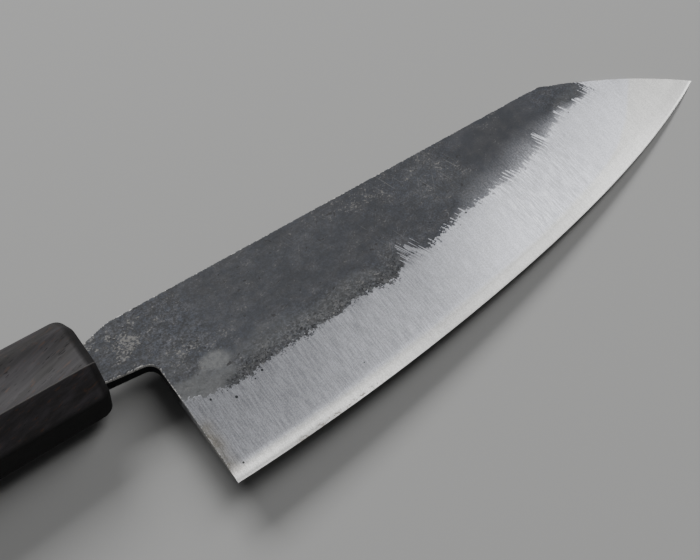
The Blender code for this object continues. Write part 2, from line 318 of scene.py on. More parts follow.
def seam_height(x):
    """Height above the cutting edge where grinding has cut through to the core."""
    heights = np.linspace(0.0, 40.0, 801)
    found = []
    for place in np.atleast_1d(x):
        half = blade_half(place, edge_y(place) + heights)
        found.append(np.interp(CORE_HALF + WELD_GAP, np.maximum.accumulate(half), heights))
    return np.array(found)


# Places on the blade's surface that differ: x, y, half length, half height, amount

PALE_PLACES = (
    (18.5, -20.2, 9, 3.6, 0.56), (24.2, -16.4, 4.3, 2.8, 1), (15, -20, 4, 4, 0.58),
    (38, -17.5, 9, 3.4, 0.2), (50, -18.4, 8, 2.6, 0.14), (62, -17, 8, 2.8, 0.16), (98, -3, 9, 8, 0.08),
    (104, -9, 6, 4.5, 0.12), (147, -1, 6, 3, 0.2), (15, -12, 6, 4, 0.14),
)
DARK_PLACES = (
    (29, -22.6, 8, 2.4, 0.6), (72, -19.5, 5, 2.6, 0.4), (118, 0, 15, 4, 0.35), (48, -4, 18, 7, 0.35),
    (72, -5, 20, 8, 0.4), (42, 3, 24, 4, 0.5), (7, -3, 8, 6, 0.4),
)
SPECKLED_PLACES = (
    (8.5, -2, 4.6, 4.4, 1), (3, 2.4, 6, 2.2, 0.75), (16, 1.5, 6, 3, 0.5), (19.5, -10.5, 4, 3, 0.65),
    (29, -13, 7, 2.6, 0.5), (80, 3, 11, 3.4, 0.6), (98, -3, 12, 8, 0.24), (61, -18, 12, 4, 0.12),
    (122, 5, 6, 2, 0.6),
)
SCRATCHED_PLACES = (
    (78, -8, 5, 9, 1), (88, 2, 9, 5, 0.9), (99, 1, 9, 8, 0.9), (62, 0, 12, 6, 0.3), (10, 0, 10, 6, 0.5),
)

# What the shaders call them, with the shift of the seed and where their fading starts
BLOTCHES = {
    "pale": (PALE_PLACES, 2, 0.70),
    "speckle": (SPECKLED_PLACES, 3, 0.55),
    "dark": (DARK_PLACES, 10, 0.55),
    "scratched": (SCRATCHED_PLACES, 11, 0.55),
}

# Deeper strokes as x, half width and depth, and pits in the ground metal as x, y and radius
STREAKED_PLACES = (
    (78.8, 2, 4.6), (83, 2.2, 4), (114.8, 2.2, 2.4), (129, 2.2, 3.8), (139, 2.2, 1.8), (149, 2.6, 1.6),
    (69, 2, 0.8), (97, 3, 1),
)
BEVEL_PITS = (
    (23.3, -26.9, 0.46), (18, -24.3, 0.36), (31.9, -24.4, 0.4), (53, -35.7, 0.22), (15.9, -41.1, 0.34),
    (29.4, -25.4, 0.26), (99, -15.5, 0.4), (141.8, -5, 0.28), (19, -4.7, 0.34),
)

# Zones as limits from nothing to full, along the blade, across it or above the cutting edge
ZONES = {
    "crusted": (("length", 92, 68),),
    "nicked": (("length", 26, 32), ("length", 60, 50), ("height", 1.3, 0.7)),
    "calm": (("length", 104, 112), ("length", 139, 132)),
    "stain": (("length", 16.8, 12.8), ("across", -25, -31), ("height", 0.6, 3)),
}


def ripple(x, y, size, seed):
    """Smooth noise between about -1 and 1 whose features have a size."""
    return np.array([noise.noise(Vector((a, b, seed))) for a, b in zip(x / size, y / size)]) * 1.4


def ripples(x, y, seed, *rows):
    """Sum of ripples from the depth, the size and the shift of the seed of each."""
    return sum(depth * ripple(x, y, size, seed + shift) for depth, size, shift in rows)


def smooth_step(start, end, value):
    """0 before the start and 1 past the end, with a smooth change between them."""
    t = np.clip((value - start) / (end - start), 0, 1)
    return t * t * (3 - 2 * t)


def blotches(x, y, places, seed, firm):
    """Ovals with wandering outlines, which fade out from a share of their size."""
    shift = ripple(x, y, 3.5, seed) * 0.28
    total = np.zeros_like(x)
    for centre_x, centre_y, half_x, half_y, amount in places:
        away = np.hypot((x - centre_x) / half_x, (y - centre_y) / half_y) + shift
        total = np.maximum(total, amount * smooth_step(1.15, firm, away))
    return total


def surface_facts(x, y, rim, seed):
    """What the shaders read at each point, in mm or as a share."""
    height = y - edge_y(x)
    cover = np.minimum(height - by_place(x, GRIND_LINE), SCALE_END - x)
    streaks = by_place(x, STREAK_DEPTH)
    for place, width, depth in STREAKED_PLACES:
        streaks = streaks + depth * np.exp(-((x - place) / width) ** 2)
    facts = {
        "across": y,
        "length": x,
        "height": height,
        "cover": cover + ripples(x, y, seed, *COVER_RIPPLES),
        "fade": by_place(x, FADE_REACH),
        "thin": by_place(x, FADE_SHARE),
        "streaks": streaks,
        "rim": np.minimum(rim, INTERIOR_RIM),
        "wear": rim_wear(x, y, seed + 12),
        "polish_and_painted_sheen": polish_and_painted_sheen(x, height),
        "seam": np.clip(height - by_place(x, CORE_SHOWN), -20, 20),
    }
    for key, (places, shift, firm) in BLOTCHES.items():
        facts[key] = blotches(x, y, places, seed + shift, firm)
    for key, limits in ZONES.items():
        facts[key] = math.prod(smooth_step(start, end, facts[way]) for way, start, end in limits)
    return facts


def polish_and_painted_sheen(x, height):
    """How bright the ground metal is painted, as a share of the plain metal's colour: polish together with
    painted sheen and shade, and a painted glint at the edge near the tip.
    """
    bevel, band, edge = (by_place(x, table) for table in (BEVEL_BRIGHTNESS, BAND_BRIGHTNESS, EDGE_BRIGHTNESS))
    far = by_place(x, FAR_BAND)
    share = band + (bevel - band) * smooth_step(1.9 + 0.8 * far, 4.6 + 1.0 * far, height)
    return share * (1 + (edge - 1) * smooth_step(by_place(x, EDGE_BRIGHTNESS_REACH), 0.1, height))


def on_low_rim(x, y):
    """1 by the neck's lower edge and the heel line, 0 by the spine and the clip."""
    return smooth_step(15.0, 13.0, x) * smooth_step(-3.0, -6.0, y)


def rim_wear(x, y, seed):
    """How far in from the rim the scale is rubbed off, in mm."""
    patches = smooth_step(0.05, 0.6, ripple(x, y, 3.4, seed))
    low_rim = on_low_rim(x, y)
    handled = smooth_step(40.0, 25.0, x) + smooth_step(116.0, 120.0, x)
    top = TOP_RIM_WEAR + TOP_RIM_PATCHES * patches * np.clip(handled, 0.25, 1)
    low = LOW_RIM_WEAR * (0.70 + 0.30 * patches) * (1 - 0.60 * smooth_step(-9.5, -13.0, y))
    return low_rim * low + (1 - low_rim) * top


def relief(x, y, facts, seed):
    """How far the real surface lies above the plain section, in mm."""
    scaled = smooth_step(-3.0, 3.0, facts["cover"])
    forged = FORGED_RISE + ripples(x, y, seed, *FORGED_RIPPLES)
    forged -= facts["speckle"] * ripples(x, y, seed, SPECKLE_RIPPLE)
    return scaled * forged + (1 - scaled) * ripples(x, y, seed, GROUND_RIPPLE)


# Plates

def distance_to(points, lines):
    """Least distance from each point to a set of segments."""
    starts = np.concatenate([line[:-1] for line in lines])
    ways = np.concatenate([np.diff(line, axis=0) for line in lines])
    lengths = np.maximum((ways ** 2).sum(1), 1e-12)
    found = np.empty(len(points))
    for first in range(0, len(points), 2000):
        away = points[first:first + 2000, None] - starts
        t = np.clip((away * ways).sum(2) / lengths, 0, 1)
        found[first:first + 2000] = np.sqrt(((away - ways * t[..., None]) ** 2).sum(2).min(1))
    return found


def inside(points, loop):
    """True for each point inside a closed loop."""
    found = np.zeros(len(points), bool)
    for (x0, y0), (x1, y1) in zip(loop, np.roll(loop, -1, axis=0)):
        crosses = (y0 > points[:, 1]) != (y1 > points[:, 1])
        if y0 != y1:
            at = x0 + (points[:, 1] - y0) * (x1 - x0) / (y1 - y0)
            found ^= crosses & (points[:, 0] < at)
    return found


def unit(ways):
    """Directions of the same ways, each of length 1."""
    return ways / np.maximum(np.linalg.norm(ways, axis=1), 1e-9)[:, None]


def inset_chain(chain, loop, distance):
    """A chain of the loop moved inward by a distance, along the mitred normals of the loop."""
    into, out = unit(loop - np.roll(loop, 1, axis=0)), unit(np.roll(loop, -1, axis=0) - loop)
    inward = unit(np.c_[-into[:, 1] - out[:, 1], into[:, 0] + out[:, 0]])
    cosine = np.maximum((inward * np.c_[-into[:, 1], into[:, 0]]).sum(1), 0.35)
    return (loop + inward * (distance / cosine)[:, None])[chain]


def triangulated(loop, rims, lattice, insets):
    """Triangles inside a counter-clockwise loop, through a lattice and loops inset from its rims."""
    points = [tuple(point) for point in loop]
    edges = [(i, (i + 1) % len(loop)) for i in range(len(loop))]
    for distance in insets:
        for chain in rims:
            moved = inset_chain(chain, loop, distance)
            keep = inside(moved, loop)
            first = len(points)
            kept = [tuple(point) for point in moved[keep]]
            points += kept
            edges += [(first + i, first + i + 1) for i in range(len(kept) - 1)
                      if math.dist(kept[i], kept[i + 1]) < 2 * COARSE_STEP]
    points += [tuple(point) for point in lattice]
    places, _, faces, *_ = delaunay_2d_cdt([Vector(point) for point in points], edges, [], 0, 1e-5, False)
    places = np.array([tuple(place) for place in places])
    middles = np.array([places[face].mean(0) for face in faces])
    return places, [face for face, kept in zip(faces, inside(middles, loop)) if kept]


def lattice_points(loop, first_x, last_x, heights, room):
    """Rows at set heights above the cutting edge, where they lie inside the loop and clear of it."""
    made = []
    for i, x in enumerate(np.arange(first_x, last_x, FINE_STEP)):
        odd_column_rise = 0.05 * (i % 2)
        made += [(x, float(edge_y(x)) + height + odd_column_rise) for height in heights]
    made = np.array(made)
    made = made[inside(made, loop)]
    closed = np.concatenate([loop, loop[:1]])
    return made[distance_to(made, [closed]) > room]


def joined(chains):
    """One counter-clockwise loop from chains that follow each other, and where each chain lies in it."""
    loop, spans = [], []
    for chain in chains:
        first = len(loop)
        loop += [tuple(point) for point in chain[:-1]]
        spans.append(list(range(first, len(loop))))
    return np.array(loop), spans


def show(name, data):
    """A new object in the scene from a mesh, a light or a camera."""
    made = bpy.data.objects.new(name, data)
    bpy.context.scene.collection.objects.link(made)
    return made


def write_mesh(name, places, faces, facts, finish):
    """A smooth object from places in mm, with its facts as attributes and no loose points."""
    mesh = bpy.data.meshes.new(name)
    mesh.from_pydata([tuple(place) for place in places * MM], [], faces)
    for key, values in facts.items():
        mesh.attributes.new(key, 'FLOAT', 'POINT').data.foreach_set("value", values.astype(np.float32))
    mesh.validate()
    bm = bmesh.new()
    bm.from_mesh(mesh)
    bmesh.ops.recalc_face_normals(bm, faces=bm.faces)
    bmesh.ops.delete(bm, geom=[vert for vert in bm.verts if not vert.link_faces], context='VERTS')
    bm.to_mesh(mesh)
    bm.free()
    mesh.shade_smooth()
    mesh.set_sharp_from_angle(angle=SHARP_ANGLE)
    mesh.transform(TO_FRAME)
    mesh.materials.append(finish)
    return show(name, mesh)


def open_edges(faces):
    """Directed edges of the triangles that no other triangle uses the other way."""
    used = {(a, b) for face in faces for a, b in zip(face, face[1:] + face[:1])}
    return [(a, b) for a, b in used if (b, a) not in used]


def wall_faces(edges, below):
    """Faces from open edges down to the points below them, each corner taken once."""
    walls = []
    for a, b in edges:
        corners = [b, a, int(below[a]), int(below[b])]
        unique = [corner for i, corner in enumerate(corners) if corner not in corners[:i]]
        if len(unique) > 2:
            walls.append(unique)
    return walls


def upper_outline():
    """Tang, neck, fillet and heel line, as chains: left end to the heel, and tip to the left end."""
    tang_low = Vector((-TANG_LENGTH, -NECK_DROP - TANG_END_HEIGHT / 2))
    tang_high = Vector((-TANG_LENGTH, -NECK_DROP + TANG_END_HEIGHT / 2))
    neck_corner = Vector((HEEL.x, NECK_BOTTOM - NECK_FLARE))
    fillet = fillet_points(Vector((0.0, NECK_BOTTOM)), neck_corner, HEEL, HEEL_FILLET)
    hidden_low = resampled([tang_low, Vector((VISIBLE_FROM, NECK_BOTTOM + HIDDEN_STEP_IN))], COARSE_STEP)
    neck = resampled([hidden_low[-1], Vector((0.0, NECK_BOTTOM))] + fillet, FINE_STEP)
    slope_end = Vector((0.0, NECK_TOP))
    turn = fillet_points(SPINE_CORNER, Vector((NECK_SLOPE_LENGTH, SPINE_RISE)), slope_end, NECK_TURN)
    hidden_from = Vector((VISIBLE_FROM, NECK_TOP - HIDDEN_STEP_IN))
    spine = resampled([SPINE_CORNER] + turn + [slope_end, hidden_from], FINE_STEP)
    hidden_high = resampled([spine[-1], tang_high, tang_low], COARSE_STEP)
    return hidden_low, neck, spine, hidden_high


def cladding(name, side, seed, finish):
    """Soft iron on one side: forged face, ground bevel down to the seam, rounded rims."""
    hidden_low, neck, spine, hidden_high = upper_outline()
    seam = [Vector((x, float(edge_y(x)) + height)) for x, height in zip(SEAM_X, SEAM_HEIGHTS)]
    heel = resampled([neck[-1], seam[0]], FINE_STEP)
    clip = [Vector((x, float(clip_y(x)))) for x in np.arange(SPINE_CORNER.x, SEAM_X[-1], FINE_STEP)]
    clip = [seam[-1]] + clip[::-1]
    loop, spans = joined([hidden_low, neck, heel, seam, clip, spine, hidden_high])
    rims = [spans[1] + spans[2], spans[4] + spans[5]]
    heights = np.arange(1.0, BLADE_HEIGHT + 1, FINE_STEP)
    lattice = lattice_points(loop, VISIBLE_FROM, SEAM_X[-1], heights, RIM_CLEARANCE)
    places, faces = triangulated(loop, rims, lattice, RIM_INSETS)
    x, y = places.T
    rim = distance_to(places, [loop[chain] for chain in rims])
    facts = surface_facts(x, y, rim, seed)
    plain = blade_half(x, y)
    thickness = np.maximum(plain - CORE_HALF - WELD_GAP, 0.0)
    wanted = np.interp(y, (-14.0, -9.5), (HEEL_RIM_ROUND, LOW_RIM_ROUND))
    eased = RIM_ROUND + (wanted - RIM_ROUND) * on_low_rim(x, y)
    radius = np.minimum(eased, thickness * 0.8)
    short = np.clip(1 - rim / np.maximum(radius, 1e-6), 0, 1)
    z = plain + relief(x, y, facts, seed) * smooth_step(0.0, 0.3, thickness)
    z -= radius * (1 - np.sqrt(np.maximum(1 - short ** 2, 0)))
    z = np.maximum(z, CORE_HALF + WELD_GAP)
    return solid(name, places, faces, z, CORE_HALF + WELD_GAP, facts, side, finish)


def solid(name, places, faces, z, floor_z, facts, side, finish):
    """Closed body between a height field and a plane, on the face side (1) or the back (-1)."""
    edges = open_edges(faces)
    following = dict(edges)
    ring = [edges[0][0]]
    while following[ring[-1]] != ring[0]:
        ring.append(following[ring[-1]])
    walled = [a for a in sorted(following) if z[a] - floor_z >= THINNEST_WALL]
    lower = {a: a for a in following}
    lower.update({a: len(places) + i for i, a in enumerate(walled)})
    for a in following:
        if lower[a] == a:
            z[a] = floor_z
    points = np.concatenate([np.c_[places, z], np.c_[places[walled], np.full(len(walled), floor_z)]])
    points[:, 2] *= side
    merged = {key: np.concatenate([values, values[walled]]) for key, values in facts.items()}
    # Wall points get a rim beyond the interior's, which paints their scale dark as shade
    merged["rim"][len(places):] = WALL_RIM
    base = [lower[a] for a in reversed(ring)]
    all_faces = [list(face) for face in faces] + wall_faces(edges, lower) + [base]
    return write_mesh(name, points, all_faces, merged, finish)


def core(name, seed, finish):
    """Hard steel in the middle: bare along the cutting edge, and cut off at spine, clip and heel."""
    hidden_low, neck, spine, hidden_high = upper_outline()
    heel = resampled([neck[-1], HEEL], FINE_STEP)
    edge = resampled(EDGE_LINE, FINE_STEP)
    clip = resampled(CLIP_LINE[::-1], FINE_STEP)
    loop, _ = joined([hidden_low, neck, heel, edge, clip, spine, hidden_high])
    upper_rows = np.arange(CORE_ROWS[-1] + CORE_ROW_STEP, CORE_ROWS_END, CORE_ROW_STEP)
    heights = np.concatenate([CORE_ROWS, upper_rows])
    lattice = lattice_points(loop, HEEL.x, TIP.x, heights, 0.1)
    above = lattice[:, 1] - edge_y(lattice[:, 0]) - np.interp(lattice[:, 0], SEAM_X, SEAM_HEIGHTS)
    lattice = lattice[(above < 1.2) & (np.abs(above) > 0.12)]
    along_seam = [np.c_[SEAM_X, edge_y(SEAM_X) + SEAM_HEIGHTS + shift] for shift in (-0.03, 0.0, 0.03)]
    along_seam = np.concatenate(along_seam)
    lattice = np.concatenate([lattice, along_seam[inside(along_seam, loop)]])
    places, faces = triangulated(loop, [], lattice, ())
    x, y = places.T
    facts = surface_facts(x, y, np.zeros_like(x), seed)
    # The whole core counts as wall, so scale on it is painted dark as shade
    facts["rim"] = np.full_like(x, WALL_RIM)
    z = np.minimum(blade_half(x, y), CORE_HALF + WELD_GAP * 0.9)
    z[(y - edge_y(x) < 0.02) & (x >= HEEL.x)] = 0.0
    closed = z < THINNEST_WALL
    z[closed] = 0.0
    count = len(places)
    other = np.where(closed, np.arange(count), np.arange(count) + count)
    upper = [list(face) for face in faces]
    under = [[int(other[corner]) for corner in reversed(face)] for face in faces]
    walls = wall_faces(open_edges(faces), other)
    points = np.concatenate([np.c_[places, z], np.c_[places, -z]])
    doubled = {key: np.concatenate([values, values]) for key, values in facts.items()}
    return write_mesh(name, points, upper + under + walls, doubled, finish)


# Handle

def octagon_ring(scale, inset):
    """Octagon with rounded corners as (y, z) points, grown by a scale and then drawn in."""
    half_y = HANDLE_WIDTH / 2 * scale - inset
    half_z = HANDLE_THICKNESS / 2 * scale - inset
    chamfer = HANDLE_CHAMFER * scale - inset * (2 - math.sqrt(2))
    corners = []
    for side_y, side_z in ((1, 1), (-1, 1), (-1, -1), (1, -1)):
        on_flat = Vector((side_y * (half_y - chamfer), side_z * half_z))
        on_side = Vector((side_y * half_y, side_z * (half_z - chamfer)))
        corners += [on_side, on_flat] if side_y == side_z else [on_flat, on_side]
    ring = []
    reaches = [radius * math.tan(math.radians(22.5)) for radius in RIDGE_ROUNDS]
    for i, corner in enumerate(corners):
        before, after = corners[i - 1], corners[(i + 1) % 8]
        start = corner + (before - corner).normalized() * reaches[i]
        end = corner + (after - corner).normalized() * reaches[i]
        for step in range(CORNER_ARC_STEPS + 1):
            t = step / CORNER_ARC_STEPS
            ring.append(start.lerp(corner, t).lerp(corner.lerp(end, t), t))
        next_start = after + (corner - after).normalized() * reaches[(i + 1) % 8]
        ring += [end.lerp(next_start, step / FLAT_STEPS) for step in range(1, FLAT_STEPS)]
    return ring


def handle_rings():
    """Cross-sections from the bottom of the bore, out over the front face, and along to the butt."""
    around = [(point + Vector((NECK_DROP, 0))).normalized() for point in octagon_ring(1.0, 0.0)]
    mouth = BORE_MOUTH_ROUND
    bore = ((-BORE_DEPTH, BORE_RADIUS), (-60, BORE_RADIUS), (-20, BORE_RADIUS), (-mouth, BORE_RADIUS),
            (-mouth * 0.3, BORE_RADIUS + mouth * 0.3), (0, BORE_RADIUS + mouth))
    rings = [[(x, way.x * radius - NECK_DROP, way.y * radius) for way in around] for x, radius in bore]
    mouth_edge = [Vector((y, z)) for _, y, z in rings[-1]]
    front_edge = octagon_ring(1.0, FRONT_ROUND_DEPTH)
    for t in (0.35, 0.7):
        rings.append([(0.0, *inner.lerp(outer, t)) for inner, outer in zip(mouth_edge, front_edge)])

    quarter_turn = [math.pi / 2 * i / END_ROUND_STEPS for i in range(END_ROUND_STEPS + 1)]
    straight = HANDLE_LENGTH - FRONT_ROUND_LENGTH - HANDLE_END_ROUND
    sections = [(-FRONT_ROUND_LENGTH * (1 - math.cos(angle)), FRONT_ROUND_DEPTH * (1 - math.sin(angle)))
                for angle in quarter_turn]
    sections += [(-FRONT_ROUND_LENGTH - straight * i / HANDLE_STEPS, 0.0) for i in range(1, HANDLE_STEPS)]
    sections += [(-HANDLE_LENGTH + HANDLE_END_ROUND * (1 - math.sin(angle)),
                  HANDLE_END_ROUND * (1 - math.cos(angle))) for angle in quarter_turn]
    for x, inset in sections:
        rings.append([(x, *point) for point in octagon_ring(handle_scale(x), inset)])
    butt = rings[-1]
    for share in (0.8, 0.5, 0.2):
        rings.append([(-HANDLE_LENGTH, y * share, z * share) for _, y, z in butt])
    return rings


def handle_facts():
    """Marks of each place around the handle: ridges painted lighter as wear and highlight, far facets
    rougher and painted darker as shade, narrow sides painted dark as shade, chamfers painted lighter.
    """
    facts = {key: np.zeros(RING_COUNT) for key in ("ridge", "dull_painted_shade", "painted_shade_side", "painted_chamfer_light")}
    along = np.arange(FLAT_STEPS) / FLAT_STEPS
    for i in range(8):
        first = i * FACET_STEPS
        flat = first + CORNER_ARC_STEPS
        end = first + FACET_STEPS
        # Ridges painted lighter as wear and as a painted highlight
        if i in WORN_SHEEN_RIDGES:
            facts["ridge"][first + 1:flat] = 1.0
        # Far facets made rougher and painted darker as shade, fading out across the top facet and in across
        # the bottom one
        if i in DULL_SHADED_FACETS:
            facts["dull_painted_shade"][first:end] = 1.0
        if i == SHADE_FADING_OUT_FACET:
            facts["dull_painted_shade"][first:flat] = 1.0
            facts["dull_painted_shade"][flat:end] = 1 - along
        if i == SHADE_FADING_IN_FACET:
            facts["dull_painted_shade"][flat:end] = along
        # The narrow sides, painted dark as shade
        if i in SHADED_SIDE_FACETS:
            facts["painted_shade_side"][first:end + CORNER_ARC_STEPS] = 1.0
        # The chamfers' flats, painted lighter as light
        if i % 2 == 0:
            facts["painted_chamfer_light"][flat:end] = 1.0
    return facts


def handle_scale(x):
    """How much wider the handle is at x than at its front."""
    return 1 + (HANDLE_WIDENING - 1) * (-x / HANDLE_LENGTH)


def handle(finish):
    """Octagonal handle with its bore, soft ridges and rounded ends, slightly uneven as if hand-planed."""
    rings = handle_rings()
    points = np.array([point for ring in rings for point in ring])
    last = (len(rings) - 1) * RING_COUNT
    faces = [list(range(RING_COUNT)), list(range(last, last + RING_COUNT))]
    for first in range(0, last, RING_COUNT):
        for i in range(RING_COUNT):
            j = (i + 1) % RING_COUNT
            faces.append([first + i, first + j, first + RING_COUNT + j, first + RING_COUNT + i])
    from_bore = np.hypot(points[:, 1] + NECK_DROP, points[:, 2])
    outside = smooth_step(BORE_RADIUS + 1.0, BORE_RADIUS + 3.0, from_bore)
    round_about = np.arctan2(points[:, 2], points[:, 1]) * 6
    planed = HAND_PLANED + HAND_PLANED_RIPPLE * np.abs(ripple(points[:, 0], round_about, 14.0, 3.3))
    points[:, 1:] *= 1 - (outside * planed)[:, None]
    facts = {key: np.tile(values, len(rings)) for key, values in handle_facts().items()}
    # The front end's rounding, which the finish makes rougher and darker as painted shade
    facts["end"] = smooth_step(-2.7, -1.6, points[:, 0])
    return write_mesh("handle_body_finish", points, faces, facts, finish)


# Node shaders

class Shader:
    """A material's node tree, written as plain calls."""

    def __init__(self, name):
        self.material = bpy.data.materials.new(name)
        self.material.use_nodes = True
        self.tree = self.material.node_tree
        self.surface = self.tree.nodes["Principled BSDF"]
        self.facts = {}

    def put(self, socket, value):
        """Link a socket, set a value, or leave the default where there is none."""
        if isinstance(value, bpy.types.NodeSocket):
            self.tree.links.new(value, socket)
        elif value is not None:
            socket.default_value = value

    def node(self, kind, *inputs, **settings):
        """A new node with its settings, and what goes into its first sockets."""
        made = self.tree.nodes.new("ShaderNode" + kind)
        for key, value in settings.items():
            setattr(made, key, value)
        for socket, value in zip(made.inputs, inputs):
            self.put(socket, value)
        return made

    def maths(self, operation, *values):
        return self.node("Math", *values, operation=operation).outputs[0]

    def times(self, product, *values):
        for value in values:
            product = self.maths('MULTIPLY', product, value)
        return product

    def most(self, first, second):
        return self.maths('MAXIMUM', first, second)

    def rest(self, share):
        """What a share leaves of the whole."""
        return self.maths('SUBTRACT', 1.0, share)

    def total(self, start, *terms):
        """A start plus each value times its weight."""
        for value, weight in terms:
            start = self.maths('MULTIPLY_ADD', value, weight, start)
        return start

    def step(self, value, start, end, low=0.0, high=1.0):
        """Smooth change from low to high while a value goes from start to end."""
        made = self.node("MapRange", value, start, end, low, high, interpolation_type='SMOOTHSTEP')
        return made.outputs[0]

    def mix(self, share, *colours):
        """Two colours mixed, which a Mix node takes in its sockets 6 and 7."""
        given = [colour if isinstance(colour, bpy.types.NodeSocket) else (*colour, 1) for colour in colours]
        return self.node("Mix", share, *[None] * 5, *given, data_type='RGBA').outputs[2]

    def blend(self, share, first, second):
        """Two numbers mixed, which a Mix node takes in its sockets 2 and 3."""
        return self.node("Mix", share, None, first, second).outputs[0]

    def dim(self, colour, by):
        """A colour made brighter or darker."""
        return self.node("VectorMath", colour, None, None, by, operation='SCALE').outputs[0]

    def fact(self, name):
        """One of the mesh's facts, by one node however often it is read."""
        if name not in self.facts:
            self.facts[name] = self.node("Attribute", attribute_name=name).outputs["Fac"]
        return self.facts[name]

    def place(self, x, y, z=0.0):
        return self.node("CombineXYZ", x, y, z).outputs[0]

    def distance(self, x, y, to_x, to_y):
        made = self.node("VectorMath", self.place(x, y), (to_x, to_y, 0.0), operation='DISTANCE')
        return made.outputs["Value"]

    def noise_at(self, where, detail, rough=0.5, scale=1.0):
        return self.node("TexNoise", where, None, scale, detail, rough).outputs["Fac"]

    def noise(self, x, y, size_x, size_y, detail, seed, rough=0.5):
        """Noise over two coordinates in mm whose features have sizes in mm."""
        where = self.place(self.maths('DIVIDE', x, size_x), self.maths('DIVIDE', y, size_y), seed)
        return self.noise_at(where, detail, rough)

    def bump(self, height, distance):
        """The normal of a skin whose height is counted in steps of a distance in mm."""
        made = self.node("Bump", 1.0, distance * MM)
        self.put(made.inputs["Height"], height)
        return made.outputs["Normal"]

    def finish(self, colour, roughness, metallic=0.0, normal=None, shine=None):
        for name, value in (("Base Color", colour), ("Roughness", roughness), ("Metallic", metallic),
                            ("Normal", normal), ("Specular IOR Level", shine)):
            self.put(self.surface.inputs[name], value)
        return self.material


# Finish of the blade

SLATE = (0.0335, 0.0380, 0.0500)
DUSK = (0.0400, 0.0420, 0.0500)
THIN_SCALE = (0.174, 0.179, 0.180)
OLIVE_SCALE = (0.178, 0.179, 0.170)
WORN_SCALE = (0.264, 0.256, 0.240)
BLACK_SCALE = (0.008, 0.008, 0.009)
IRON = (0.595, 0.605, 0.650)
STEEL = (0.600, 0.598, 0.584)
STAINED_IRON = (0.47, 0.445, 0.40)
RUBBED_IRON = (0.66, 0.645, 0.62)
NICKED_STEEL = (0.10, 0.085, 0.070)

GROUND_ROUGHNESS = 0.278
BRUSHED_ROUGHNESS = 0.295
LINED_ROUGHNESS = 0.310
RUBBED_ROUGHNESS = 0.55
SCALE_ROUGHNESS = (0.46, 0.62)
WALL_ROUGHNESS = 0.95

# How far the grinding strokes and the finer brushing lean, for each mm above the cutting edge
STROKE_LEAN = 0.42
BRUSH_LEAN = 0.03

# Lean of two sets of scratches, with the shift of the seed
SCRATCH_SETS = ((0.35, 31.0), (-0.55, 43.0))

# Noises of the blade: what they run over, sizes of the features in mm, detail, shift of the seed, and
# the roughness where it isn't the usual one
BLADE_NOISES = {
    "fine": ("face", 0.45, 0.45, 3, 0),
    "grain": ("face", 1.2, 1.2, 3, 3.1, 0.62),
    "patch": ("face", 3.2, 2.6, 3, 4.6),
    "cloud": ("face", 11, 8, 2, 7.7),
    "flecks": ("face", 0.66, 0.52, 3, 20.3, 0.65),
    "mottle": ("face", 0.85, 0.70, 2, 25.6, 0.6),
    "pepper": ("face", 0.55, 0.50, 1, 37.1),
    "bits": ("face", 1, 0.9, 2, 28.2, 0.6),
    "islands": ("face", 0.8, 0.8, 1, 15.2),
    "dots": ("face", 1.6, 1.6, 1, 12.5),
    "strokes": ("leaning", 0.40, 8, 1, 1.3),
    "brushed": ("upright", 0.30, 4.2, 2, 5.9),
    "coarse": ("upright", 1.2, 12, 1, 8.4),
    "powder": ("above", 0.27, 0.34, 1, 2.2),
}

# Skins of the scale and of the metal in mm: where they start, which brings the middle of both to about
# zero, so that no line shows where they meet, and the height that each noise gives
SCALE_SKIN = (-0.077, {"grain": 0.055, "fine": 0.018, "patch": 0.06, "flecks": 0.02})
METAL_SKIN = (-0.0011, {"brushed": 0.0005, "powder": 0.0008, "coarse": 0.0009})
DOT_DEPTH = 0.05
CRUST_DEPTH = 0.03


def blade_noises(s, seed):
    """The blade's noises by name, over its face or over places along and above the cutting edge."""
    x, y, height = s.fact("length"), s.fact("across"), s.fact("height")
    runs = {
        "face": (x, y),
        "above": (x, height),
        "leaning": (s.total(x, (height, STROKE_LEAN)), height),
        "upright": (s.total(x, (height, BRUSH_LEAN)), height),
    }
    made = {}
    for name, (run, size_x, size_y, detail, shift, *rough) in BLADE_NOISES.items():
        made[name] = s.noise(*runs[run], size_x, size_y, detail, seed + shift, *rough)
    return SimpleNamespace(**made)


def scale_left(s, n):
    """How much of the scale is left above the ragged grind line, and under the fading strokes."""
    cover, streaks, fade = s.fact("cover"), s.fact("streaks"), s.fact("fade")
    islands = s.step(n.islands, 0.60, 0.68)
    gouges = s.times(s.step(n.strokes, 0.50, 0.64), streaks)
    roughest = s.maths('MINIMUM', s.step(streaks, 0.9, 2.6, 4.4, 1.0), s.step(fade, 2.0, 6.0, 4.4, 0.6))
    rough_edge = s.times(s.maths('SUBTRACT', n.bits, 0.5), roughest)
    ragged = s.total(-2.0, (cover, 1.0), (n.fine, 2.0), (n.grain, 1.8), (rough_edge, 1.0), (islands, 1.3),
                     (gouges, -1.0))
    crisp = s.step(ragged, -0.05, 0.35)
    thinned = s.total(-2.4, (cover, 1.0), (n.strokes, 2.4), (n.grain, 1.4), (n.fine, 1.0))
    faded = s.rest(s.maths('DIVIDE', thinned, fade))
    faded = s.maths('POWER', s.maths('MINIMUM', s.most(faded, 0.0), 1.0), 2.0)
    gone = s.times(faded, s.fact("thin"), s.step(n.fine, 0.36, 0.64, 0.72, 1.28))
    return s.times(crisp, s.rest(gone))


